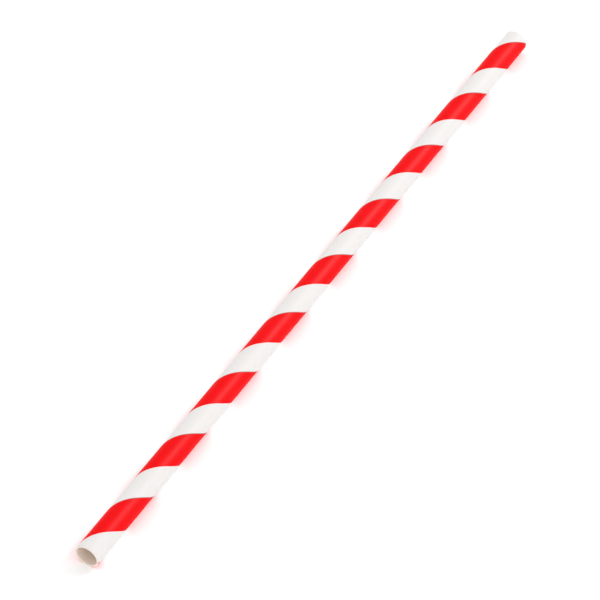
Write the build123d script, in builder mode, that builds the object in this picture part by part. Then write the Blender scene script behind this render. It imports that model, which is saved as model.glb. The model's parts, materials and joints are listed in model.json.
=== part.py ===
from build123d import *
from math import hypot, pi, sqrt
import os

# A paper drinking straw. Ribbons of paper are wound round a mandrel one over the other,
# glued into one tube and cut off square. Each ribbon runs round the tube as a right-hand
# screw, and its two edges butt together in a seam, a fine groove with a round floor of
# glue. The seam of the outermost ribbon shows outside, the seam of the innermost one
# shows in the bore, and those of the ribbons between are covered.
#
# The straw lies along Y on the plane Z = 0, with the origin under the middle of its length.

# Driving dimensions, in millimetres
LENGTH = 197.0  # from one cut end to the other
OUTER_DIAMETER = 6.0  # across the finished tube
PLY_THICKNESS = 0.14  # one ribbon of paper with its film of glue
PLY_COUNT = 3  # ribbons wound one over the other
WINDING_LEAD = 22.0  # how far a ribbon moves along the tube in one turn
SEAM_WIDTH = 0.20  # of the groove at the paper's surface, measured square to it
SEAM_DEPTH = 0.03  # of the groove, which glue fills below that
OUTER_SEAM_START = 16.1  # from the near end to the outer seam, along the tube's top line
INNER_SEAM_START = 8.6  # from the near end to the inner seam, along the bore's top line
RIM_BEVEL = 0.06  # where the knife presses the rims down, inside and outside, at both ends
REST_FLAT = 0.80  # width of the flat that the soft paper takes along the line it lies on

# Sizes that follow from them
wall = PLY_COUNT * PLY_THICKNESS
outer_radius = OUTER_DIAMETER / 2
bore_radius = outer_radius - wall
axis_height = sqrt(outer_radius**2 - (REST_FLAT / 2) ** 2)
near_end = -LENGTH / 2
straw_axis = Axis((0, 0, axis_height), (0, 1, 0))


def seam_foot(start):
    """Where a seam that crosses the top line this far from the near end begins, before the tube."""
    return near_end + start % WINDING_LEAD - WINDING_LEAD


def floor_radius(radius):
    """How round a seam's floor is in a cut square to the straw, which the seam crosses at a slant."""
    turn = hypot(WINDING_LEAD, 2 * pi * radius)
    half_width = SEAM_WIDTH / 2 * turn / WINDING_LEAD
    return (half_width**2 + SEAM_DEPTH**2) / (2 * SEAM_DEPTH)


with BuildPart() as paper_tube:
    # The wall, turned round the straw's axis from its long section, with its rims bevelled
    with BuildSketch(Plane.XY.offset(axis_height)) as wall_section:
        with Locations((bore_radius + wall / 2, 0)):
            Rectangle(wall, LENGTH)
        chamfer(wall_section.vertices(), length=RIM_BEVEL)
    revolve(axis=straw_axis)

    # The flat that it rests on
    split(bisect_by=Plane.XY, keep=Keep.TOP)

    # The seams: a disc square to the straw, which dips into the paper, follows each screw
    for radius, start, away in (
        (outer_radius, OUTER_SEAM_START, 1),
        (bore_radius, INNER_SEAM_START, -1),
    ):
        disc = floor_radius(radius)
        disc_path = radius + away * (disc - SEAM_DEPTH)
        with BuildLine() as seam_line:
            Helix(
                pitch=WINDING_LEAD,
                height=LENGTH + 2 * WINDING_LEAD,
                radius=disc_path,
                center=(0, seam_foot(start), axis_height),
                direction=straw_axis.direction,
            )
        with BuildSketch(Plane.XZ.offset(-seam_foot(start))):
            with Locations((0, axis_height + disc_path)):
                Circle(disc)
        sweep(path=seam_line.line, normal=straw_axis.direction, mode=Mode.SUBTRACT)

paper_tube.part.label = "paper_tube"
os.makedirs("parts", exist_ok=True)
export_step(paper_tube.part, "parts/paper_tube.step")
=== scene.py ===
import json
from math import atan2, cos, floor, hypot, pi, radians, sin

import bmesh
import bpy
from mathutils import Matrix, Vector, noise


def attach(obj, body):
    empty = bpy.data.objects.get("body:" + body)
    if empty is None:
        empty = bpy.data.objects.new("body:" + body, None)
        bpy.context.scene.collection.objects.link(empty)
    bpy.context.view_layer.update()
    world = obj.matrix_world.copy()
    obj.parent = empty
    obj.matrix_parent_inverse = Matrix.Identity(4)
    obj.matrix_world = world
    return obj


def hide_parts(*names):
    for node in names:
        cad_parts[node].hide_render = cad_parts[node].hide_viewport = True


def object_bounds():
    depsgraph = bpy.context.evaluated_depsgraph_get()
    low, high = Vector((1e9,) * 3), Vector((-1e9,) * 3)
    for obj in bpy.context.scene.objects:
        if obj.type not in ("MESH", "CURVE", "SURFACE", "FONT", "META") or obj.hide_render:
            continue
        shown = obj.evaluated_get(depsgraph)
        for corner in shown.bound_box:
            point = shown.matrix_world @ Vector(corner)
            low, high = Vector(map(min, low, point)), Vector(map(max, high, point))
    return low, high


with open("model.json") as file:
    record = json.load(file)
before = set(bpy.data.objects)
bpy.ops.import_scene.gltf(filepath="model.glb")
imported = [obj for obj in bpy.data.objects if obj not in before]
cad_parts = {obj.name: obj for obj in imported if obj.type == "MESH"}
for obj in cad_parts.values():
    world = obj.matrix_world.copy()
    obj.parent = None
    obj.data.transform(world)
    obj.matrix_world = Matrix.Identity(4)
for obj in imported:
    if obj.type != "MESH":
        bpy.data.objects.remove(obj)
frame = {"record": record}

MM = 0.001
TURN = 2 * pi

# The straw's sizes, from the solid and the record
solid_low, solid_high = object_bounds()
mounts = {mount["name"]: mount for mount in frame["record"]["mounts"]}
STRAW_LENGTH = solid_high.y - solid_low.y
STRAW_RADIUS = mounts["outside"]["dims"]["r_mm"] * MM
BORE_RADIUS = mounts["bore"]["dims"]["r_mm"] * MM
WALL = STRAW_RADIUS - BORE_RADIUS
WALL_MIDDLE = (STRAW_RADIUS + BORE_RADIUS) / 2
AXIS_HEIGHT = mounts["bore"]["pos_m"][2]
STRAW_MIDDLE = Vector((0, 0, AXIS_HEIGHT))
NEAR_END = solid_low.y

# How the ribbons are wound: as a right-hand screw along +Y, with the two edges of each in a seam
PLY_COUNT = 3
WINDING_LEAD = 22.0 * MM
OUTER_SEAM_START = 16.1 * MM
INNER_SEAM_START = 8.6 * MM
SEAM_DEPTH = 0.045 * MM
SEAM_SHOULDER = 0.008 * MM  # how far the paper beside a seam goes in with it
RIM_ROUNDING = 0.06 * MM

# The unevenness of the paper and of its cut, with the waves that each has in a metre
UNEVENNESS = 0.006 * MM
LONG_WAVES, SHORT_WAVES = 260, 700
RAGGEDNESS = 0.012 * MM
RAGGED_WAVES = 2500

# How finely the straw is meshed, and the order of its materials
SIDES = 60
STEPS_A_TURN = 60
RIM_STEPS = 3
PRINTED_FACE, BORE_FACE, CUT_FACE = range(3)


def angle_from_top(point):
    """How far round the straw a point lies from its top line, towards +X."""
    return atan2(point.x, point.z - AXIS_HEIGHT)


def distance_from_axis(point):
    return hypot(point.x, point.z - AXIS_HEIGHT)


def turn_length(radius):
    """How long one turn of a ribbon's edge is."""
    return hypot(WINDING_LEAD, TURN * radius)


def seam_angle(seam_start, y):
    """The angle from the top at which a seam passes y."""
    return TURN * (y - NEAR_END - seam_start) / WINDING_LEAD


def wound_profile(bm, radius, seam_start, into_paper, y):
    """A ring of the ribbon's face in a cut square to the straw, with its seam pressed in.

    into_paper is 1 where the paper lies further out than the face, and -1 where it lies further in.
    """
    middle = STRAW_MIDDLE + Vector((0, y, 0))
    ring = bmesh.ops.create_circle(bm, segments=SIDES, radius=radius)["verts"]
    bmesh.ops.rotate(bm, verts=ring, cent=(0, 0, 0), matrix=Matrix.Rotation(radians(90), 3, "X"))
    bmesh.ops.translate(bm, verts=ring, vec=middle)
    seam = max(ring, key=lambda vert: vert.co.z)
    bmesh.ops.subdivide_edges(bm, edges=seam.link_edges[:], cuts=2)
    ring = [vert for vert in bm.verts if abs(distance_from_axis(vert.co) - radius) < WALL / 2]
    seam = max(ring, key=lambda vert: vert.co.z)
    shoulder_reach = TURN * radius / SIDES / 2
    for vert in ring:
        outward = (vert.co - middle).normalized()
        vert.co = middle + outward * radius
        if vert is not seam and (vert.co - seam.co).length < shoulder_reach:
            vert.co += outward * SEAM_SHOULDER * into_paper
    seam.co.z += SEAM_DEPTH * into_paper
    turn = Matrix.Rotation(seam_angle(seam_start, y), 3, "Y")
    bmesh.ops.rotate(bm, verts=ring, cent=middle, matrix=turn)


def open_loops(bm):
    """The edges of the four open rings, by whether each is at the far end and whether it is outside."""
    loops = {(far, outer): [] for far in (False, True) for outer in (True, False)}
    for edge in bm.edges:
        if edge.is_boundary:
            point = edge.verts[0].co
            loops[point.y > 0, distance_from_axis(point) > WALL_MIDDLE].append(edge)
    return loops


def round_the_rim(bm, loop, far, outer):
    """Rolls an open edge in towards the middle of the wall, and gives back its new edge."""
    for step in range(1, RIM_STEPS + 1):
        before, now = (pi / 2 * s / RIM_STEPS for s in (step - 1, step))
        along = RIM_ROUNDING * (sin(now) - sin(before)) * (1 if far else -1)
        across = RIM_ROUNDING * (cos(before) - cos(now)) * (-1 if outer else 1)
        made = bmesh.ops.extrude_edge_only(bm, edges=loop)["geom"]
        loop = [g for g in made if isinstance(g, bmesh.types.BMEdge)]
        for vert in {v for edge in loop for v in edge.verts}:
            angle = angle_from_top(vert.co)
            vert.co += Vector((sin(angle) * across, along, cos(angle) * across))
    return loop


def soften(bm):
    """The small unevenness of wound paper and of its cut, and the flat that it rests on."""
    cut_face = STRAW_LENGTH / 2 - RIM_ROUNDING / 2
    for vert in bm.verts:
        angle = angle_from_top(vert.co)
        outward = Vector((sin(angle), 0, cos(angle)))
        outside = distance_from_axis(vert.co) > WALL_MIDDLE
        wave = noise.noise(vert.co * LONG_WAVES) + 0.5 * noise.noise(vert.co * SHORT_WAVES)
        vert.co -= outward * UNEVENNESS * (1 + wave) * (1 if outside else -1)
        if abs(vert.co.y) > cut_face:
            ragged = RAGGEDNESS * (1 + noise.noise(vert.co * RAGGED_WAVES))
            vert.co.y -= ragged * (1 if vert.co.y > 0 else -1)
        vert.co.z = max(vert.co.z, 0)


def lay_ribbon_map(face, layer, radius, seam_start):
    """UVs in millimetres: along the ribbon, and across it from the seam that it starts at."""
    one_turn = turn_length(radius)
    middle = face.calc_center_median()
    middle_angle = angle_from_top(middle)
    turns = floor((middle.y - NEAR_END - seam_start) / WINDING_LEAD - middle_angle / TURN)
    for loop in face.loops:
        point = loop.vert.co
        angle = angle_from_top(point)
        angle += TURN * round((middle_angle - angle) / TURN)
        wound = angle + TURN * turns
        past_seam = point.y - NEAR_END - seam_start - WINDING_LEAD * wound / TURN
        along = (TURN * radius * radius * wound + point.y * WINDING_LEAD) / one_turn
        across = TURN * radius * past_seam / one_turn
        loop[layer].uv = (along / MM, across / MM)


def wind_straw():
    """The straw: one ribbon's face outside and one in the bore, wound on, and the cut rims between."""
    bm = bmesh.new()
    start = NEAR_END + RIM_ROUNDING
    wound_length = STRAW_LENGTH - 2 * RIM_ROUNDING
    turns = wound_length / WINDING_LEAD
    steps = round(turns * STEPS_A_TURN)
    wound_profile(bm, STRAW_RADIUS, OUTER_SEAM_START, into_paper=-1, y=start)
    wound_profile(bm, BORE_RADIUS, INNER_SEAM_START, into_paper=1, y=start)
    bmesh.ops.spin(
        bm,
        geom=bm.verts[:] + bm.edges[:],
        cent=STRAW_MIDDLE,
        axis=(0, 1, 0),
        dvec=(0, wound_length / steps, 0),
        angle=TURN * turns,
        steps=steps,
        use_merge=False,
        use_normal_flip=False,
        use_duplicate=False,
    )
    loops = open_loops(bm)
    for far in (False, True):
        outer = round_the_rim(bm, loops[far, True], far, True)
        inner = round_the_rim(bm, loops[far, False], far, False)
        facing = (0, 1 if far else -1, 0)
        bmesh.ops.triangle_fill(bm, edges=outer + inner, use_beauty=True, normal=facing)
    soften(bm)
    bmesh.ops.recalc_face_normals(bm, faces=bm.faces)
    layer = bm.loops.layers.uv.new("ribbon")
    for face in bm.faces:
        face.smooth = True
        middle = face.calc_center_median()
        on_rim = abs(middle.y) > STRAW_LENGTH / 2 - RIM_ROUNDING
        outside = distance_from_axis(middle) > WALL_MIDDLE
        face.material_index = CUT_FACE if on_rim else PRINTED_FACE if outside else BORE_FACE
        if outside:
            lay_ribbon_map(face, layer, STRAW_RADIUS, OUTER_SEAM_START)
        else:
            lay_ribbon_map(face, layer, BORE_RADIUS, INNER_SEAM_START)
    mesh = bpy.data.meshes.new("wound_straw")
    bm.to_mesh(mesh)
    bm.free()
    straw = bpy.data.objects.new("wound_straw", mesh)
    bpy.context.scene.collection.objects.link(straw)
    return straw


# Materials

class Finish:
    """A material, with short ways to add its nodes and join them."""

    def __init__(self, name):
        self.material = bpy.data.materials.new(name)
        self.material.use_nodes = True
        self.tree = self.material.node_tree
        self.surface = self.tree.nodes["Principled BSDF"]

    def node(self, kind, inputs=(), **settings):
        made = self.tree.nodes.new(kind)
        for setting, value in settings.items():
            setattr(made, setting, value)
        for socket, value in dict(inputs).items():
            self.give(made.inputs[socket], value)
        return made

    def give(self, socket, value):
        if isinstance(value, bpy.types.NodeSocket):
            self.tree.links.new(value, socket)
        else:
            socket.default_value = value

    def shade(self, values):
        """Sets the surface's own sockets to values, or joins them to other nodes."""
        for socket, value in values.items():
            self.give(self.surface.inputs[socket], value)

    def math(self, operation, *values):
        return self.node("ShaderNodeMath", enumerate(values), operation=operation).outputs[0]

    def add(self, a, b):
        return self.math("ADD", a, b)

    def subtract(self, a, b):
        return self.math("SUBTRACT", a, b)

    def multiply(self, a, b):
        return self.math("MULTIPLY", a, b)

    def step(self, value, low, high):
        """From 0 at low to 1 at high, smoothly."""
        inputs = {"Value": value, "From Min": low, "From Max": high}
        return self.node("ShaderNodeMapRange", inputs, interpolation_type="SMOOTHSTEP").outputs[0]

    def mix(self, share, a, b):
        made = self.node("ShaderNodeMix", data_type="RGBA")
        self.give(made.inputs[0], share)
        self.give(made.inputs[6], a)
        self.give(made.inputs[7], b)
        return made.outputs[2]

    def grain(self, place, scale, detail, stretch=(1, 1, 1)):
        """Noise from 0 to 1, its grains drawn out where stretch is under 1."""
        mapped = self.node("ShaderNodeMapping", {"Vector": place, "Scale": stretch}).outputs[0]
        inputs = {"Vector": mapped, "Scale": scale, "Detail": detail}
        return self.node("ShaderNodeTexNoise", inputs).outputs[0]

    def wander(self, value, grain, reach):
        """The value, moved up to half the reach either way by the grain."""
        return self.add(value, self.multiply(self.subtract(grain, 0.5), reach))

    def ribbon_place(self):
        """Millimetres along the ribbon and across it."""
        return self.node("ShaderNodeUVMap", uv_map="ribbon").outputs[0]

    def body_place(self):
        """Metres from the straw's origin."""
        return self.node("ShaderNodeTexCoord").outputs["Object"]

    def split(self, place):
        return self.node("ShaderNodeSeparateXYZ", {"Vector": place}).outputs

    def bump(self, *layers):
        """Layers of (height, strength, distance), the coarsest first."""
        normal = None
        for height, strength, distance in layers:
            inputs = {"Height": height, "Strength": strength, "Distance": distance}
            if normal is not None:
                inputs["Normal"] = normal
            normal = self.node("ShaderNodeBump", inputs).outputs[0]
        self.shade({"Normal": normal})


RED_INK = (0.90, 0.003, 0.006, 1)
DEEP_RED_INK = (0.82, 0.002, 0.004, 1)
WHITE_PAPER = (0.795, 0.778, 0.768, 1)
WARM_WHITE_PAPER = (0.77, 0.745, 0.725, 1)
# Uncoated paper, brighter and warmer than the white paper: painted light for the light let in through the
# thin wall
PAPER_WITH_PAINTED_LIGHT = (0.93, 0.81, 0.72, 1)
DARKER_PATCH_WITH_PAINTED_LIGHT = (0.86, 0.73, 0.63, 1)
CUT_PAPER = (0.84, 0.76, 0.69, 1)
GLUE = (0.55, 0.42, 0.33, 1)
# The glue and the painted shade in the seams' grooves
SEAM_GLUE_AND_PAINTED_SHADE = (0.30, 0.12, 0.10, 1)

# The print, in millimetres across the ribbon
RIBBON_WIDTH = TURN * STRAW_RADIUS * WINDING_LEAD / turn_length(STRAW_RADIUS) / MM
BAND_START = 0.485 * RIBBON_WIDTH
BAND_WANDER = 0.22
BAND_BLUR = 0.035
# How far from a seam the glue and painted shade reach
SEAM_PAINTED_SHADE_FULL, SEAM_PAINTED_SHADE_END = 0.03, 0.14

# The paper's layers and the lines of glue between the ribbons, where the wall is cut
PLY_THICKNESS = WALL / PLY_COUNT
LAYERS_A_METRE = 14000.0
GLUE_WANDER = 0.05 * MM
GLUE_FULL, GLUE_END = 0.006 * MM, 0.026 * MM


def striped_paper():
    """White paper, printed with one red band that runs along the ribbon's far edge, and darkened at each
    seam with glue and painted shade.
    """
    finish = Finish("striped_paper")
    place = finish.ribbon_place()
    across = finish.split(place)[1]
    fibres = finish.grain(place, scale=1.0, detail=4.0, stretch=(0.9, 5.5, 1))
    drift = finish.grain(place, scale=1.0, detail=2.0, stretch=(0.35, 0.02, 1))
    cloud = finish.grain(finish.body_place(), scale=330.0, detail=3.0)
    fine = finish.grain(finish.body_place(), scale=5200.0, detail=2.0)

    inked = finish.add(fibres, finish.multiply(cloud, 0.7))
    ink = finish.mix(finish.step(inked, 0.62, 1.2), DEEP_RED_INK, RED_INK)
    paper = finish.mix(finish.step(fibres, 0.3, 0.75), WARM_WHITE_PAPER, WHITE_PAPER)
    wandering = finish.wander(across, drift, BAND_WANDER)
    band = finish.step(wandering, BAND_START - BAND_BLUR, BAND_START + BAND_BLUR)
    printed = finish.mix(band, paper, ink)

    to_seam = finish.math("MINIMUM", across, finish.subtract(RIBBON_WIDTH, across))
    # Glue and painted shade darken the paper towards each seam, where its groove lies
    seam_glue_and_painted_shade = finish.subtract(1.0, finish.step(to_seam, SEAM_PAINTED_SHADE_FULL, SEAM_PAINTED_SHADE_END))
    colour = finish.mix(finish.multiply(seam_glue_and_painted_shade, 0.75), printed, SEAM_GLUE_AND_PAINTED_SHADE)

    inputs = {"Value": fibres, "To Min": 0.46, "To Max": 0.56}
    roughness = finish.node("ShaderNodeMapRange", inputs).outputs[0]
    finish.shade({"Base Color": colour, "Roughness": roughness, "IOR": 1.47, "Specular IOR Level": 0.06})
    finish.bump((cloud, 0.25, 0.08 * MM), (fibres, 0.18, 0.03 * MM), (fine, 0.12, 0.02 * MM))
    return finish.material


def bore_paper_with_painted_light():
    """The plain uncoated paper of the bore, with its fibres along the ribbon, its colour made bright and
    warm with painted light for the light that comes in through the thin wall.
    """
    finish = Finish("bore_paper_with_painted_light")
    fibres = finish.grain(finish.ribbon_place(), scale=1.0, detail=5.0, stretch=(1.6, 7.0, 1))
    cloud = finish.grain(finish.body_place(), scale=420.0, detail=3.0)
    fine = finish.grain(finish.body_place(), scale=4200.0, detail=3.0)
    colour = finish.mix(finish.step(finish.add(fibres, cloud), 0.75, 1.3), DARKER_PATCH_WITH_PAINTED_LIGHT, PAPER_WITH_PAINTED_LIGHT)
    finish.shade({"Base Color": colour, "Roughness": 0.82, "Specular IOR Level": 0.3})
    finish.bump((cloud, 0.4, 0.10 * MM), (fine, 0.35, 0.04 * MM))
    return finish.material


def cut_edge():
    """The cut wall: the pale core of the paper, with a line of glue where one ribbon lies on the next."""
    finish = Finish("cut_edge")
    place = finish.body_place()
    x, _, z = finish.split(place)
    height = finish.subtract(z, AXIS_HEIGHT)
    squares = finish.add(finish.math("POWER", x, 2.0), finish.math("POWER", height, 2.0))
    depth = finish.subtract(STRAW_RADIUS, finish.math("SQRT", squares))

    inputs = {"W": finish.multiply(depth, LAYERS_A_METRE), "Scale": 1.0, "Detail": 2.0}
    layers = finish.node("ShaderNodeTexNoise", inputs, noise_dimensions="1D").outputs[0]
    grain = finish.grain(place, scale=3200.0, detail=3.0)
    layered = finish.add(finish.multiply(layers, 0.6), finish.multiply(grain, 0.5))
    # The paper's core takes the bore paper's colour, its painted light included
    paper = finish.mix(finish.step(layered, 0.35, 0.75), PAPER_WITH_PAINTED_LIGHT, CUT_PAPER)

    drift = finish.grain(place, scale=1100.0, detail=2.0)
    wandering = finish.wander(depth, drift, GLUE_WANDER)
    to_glue = WALL  # further than any joint is
    for joint in range(1, PLY_COUNT):
        to_joint = finish.math("ABSOLUTE", finish.subtract(wandering, PLY_THICKNESS * joint))
        to_glue = finish.math("MINIMUM", to_joint, to_glue)
    glue = finish.subtract(1.0, finish.step(to_glue, GLUE_FULL, GLUE_END))
    patches = finish.grain(place, scale=1700.0, detail=2.0)
    patchy = finish.multiply(glue, finish.step(patches, 0.25, 0.6))
    colour = finish.mix(finish.multiply(patchy, 0.6), paper, GLUE)

    finish.shade({"Base Color": colour, "Roughness": 0.85, "Specular IOR Level": 0.3})
    finish.bump((finish.subtract(layered, patchy), 0.5, 0.03 * MM))
    return finish.material


straw = wind_straw()
for material in (striped_paper(), bore_paper_with_painted_light(), cut_edge()):
    straw.data.materials.append(material)
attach(straw, "root")
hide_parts("paper_tube")


# Studio, in metres and watts

FLOOR_REACH = 3.0
FLOOR_GLOW = 0.14
ROOM_LIGHT = 0.97
KEY_DIRECTION = Vector((0.448, 0.592, 0.670)).normalized()
KEY_DISTANCE = 1.5
KEY_SIZE = 0.32
CAMERA_DIRECTION = Vector((0.356, -0.592, 0.723)).normalized()
CAMERA_DISTANCE = 0.76
CAMERA_AIM = STRAW_MIDDLE + Vector((0, -0.008, 0))


def pale_floor():
    bm = bmesh.new()
    bmesh.ops.create_grid(bm, x_segments=1, y_segments=1, size=FLOOR_REACH)
    mesh = bpy.data.meshes.new("floor")
    bm.to_mesh(mesh)
    bm.free()
    made = bpy.data.objects.new("floor", mesh)
    bpy.context.scene.collection.objects.link(made)
    finish = Finish("pale_floor")
    finish.shade({"Base Color": (0.92, 0.92, 0.92, 1), "Roughness": 0.9, "Specular IOR Level": 0.1})
    finish.shade({"Emission Color": (1, 1, 1, 1), "Emission Strength": FLOOR_GLOW})
    mesh.materials.append(finish.material)
    return made


def aimed(target, direction, distance):
    """The place of a light or a camera that looks at the target from that direction."""
    turn = direction.to_track_quat("Z", "Y").to_matrix().to_4x4()
    return Matrix.Translation(target + direction * distance) @ turn


def softbox(name, power):
    """A square light at the key's place."""
    lamp = bpy.data.lights.new(name, "AREA")
    lamp.shape = "RECTANGLE"
    lamp.size = lamp.size_y = KEY_SIZE
    lamp.energy = power
    made = bpy.data.objects.new(name, lamp)
    made.matrix_world = aimed(STRAW_MIDDLE, KEY_DIRECTION, KEY_DISTANCE)
    bpy.context.scene.collection.objects.link(made)
    return made


pale_floor()

world = bpy.data.worlds.new("white_room")
world.use_nodes = True
world.node_tree.nodes["Background"].inputs["Color"].default_value = (1, 1, 1, 1)
world.node_tree.nodes["Background"].inputs["Strength"].default_value = ROOM_LIGHT
bpy.context.scene.world = world

softbox("key_softbox", power=5.0)
sheen = softbox("sheen_softbox", power=40.0)
sheen.visible_diffuse = False  # only its reflection shows

lens = bpy.data.cameras.new("camera")
lens.sensor_width = 36.0
lens.lens = 194.0
lens.clip_start = 0.01
lens.clip_end = 20.0
camera = bpy.data.objects.new("camera", lens)
camera.matrix_world = aimed(CAMERA_AIM, CAMERA_DIRECTION, CAMERA_DISTANCE)
bpy.context.scene.collection.objects.link(camera)
bpy.context.scene.camera = camera
bpy.context.scene.view_settings.view_transform = "Standard"
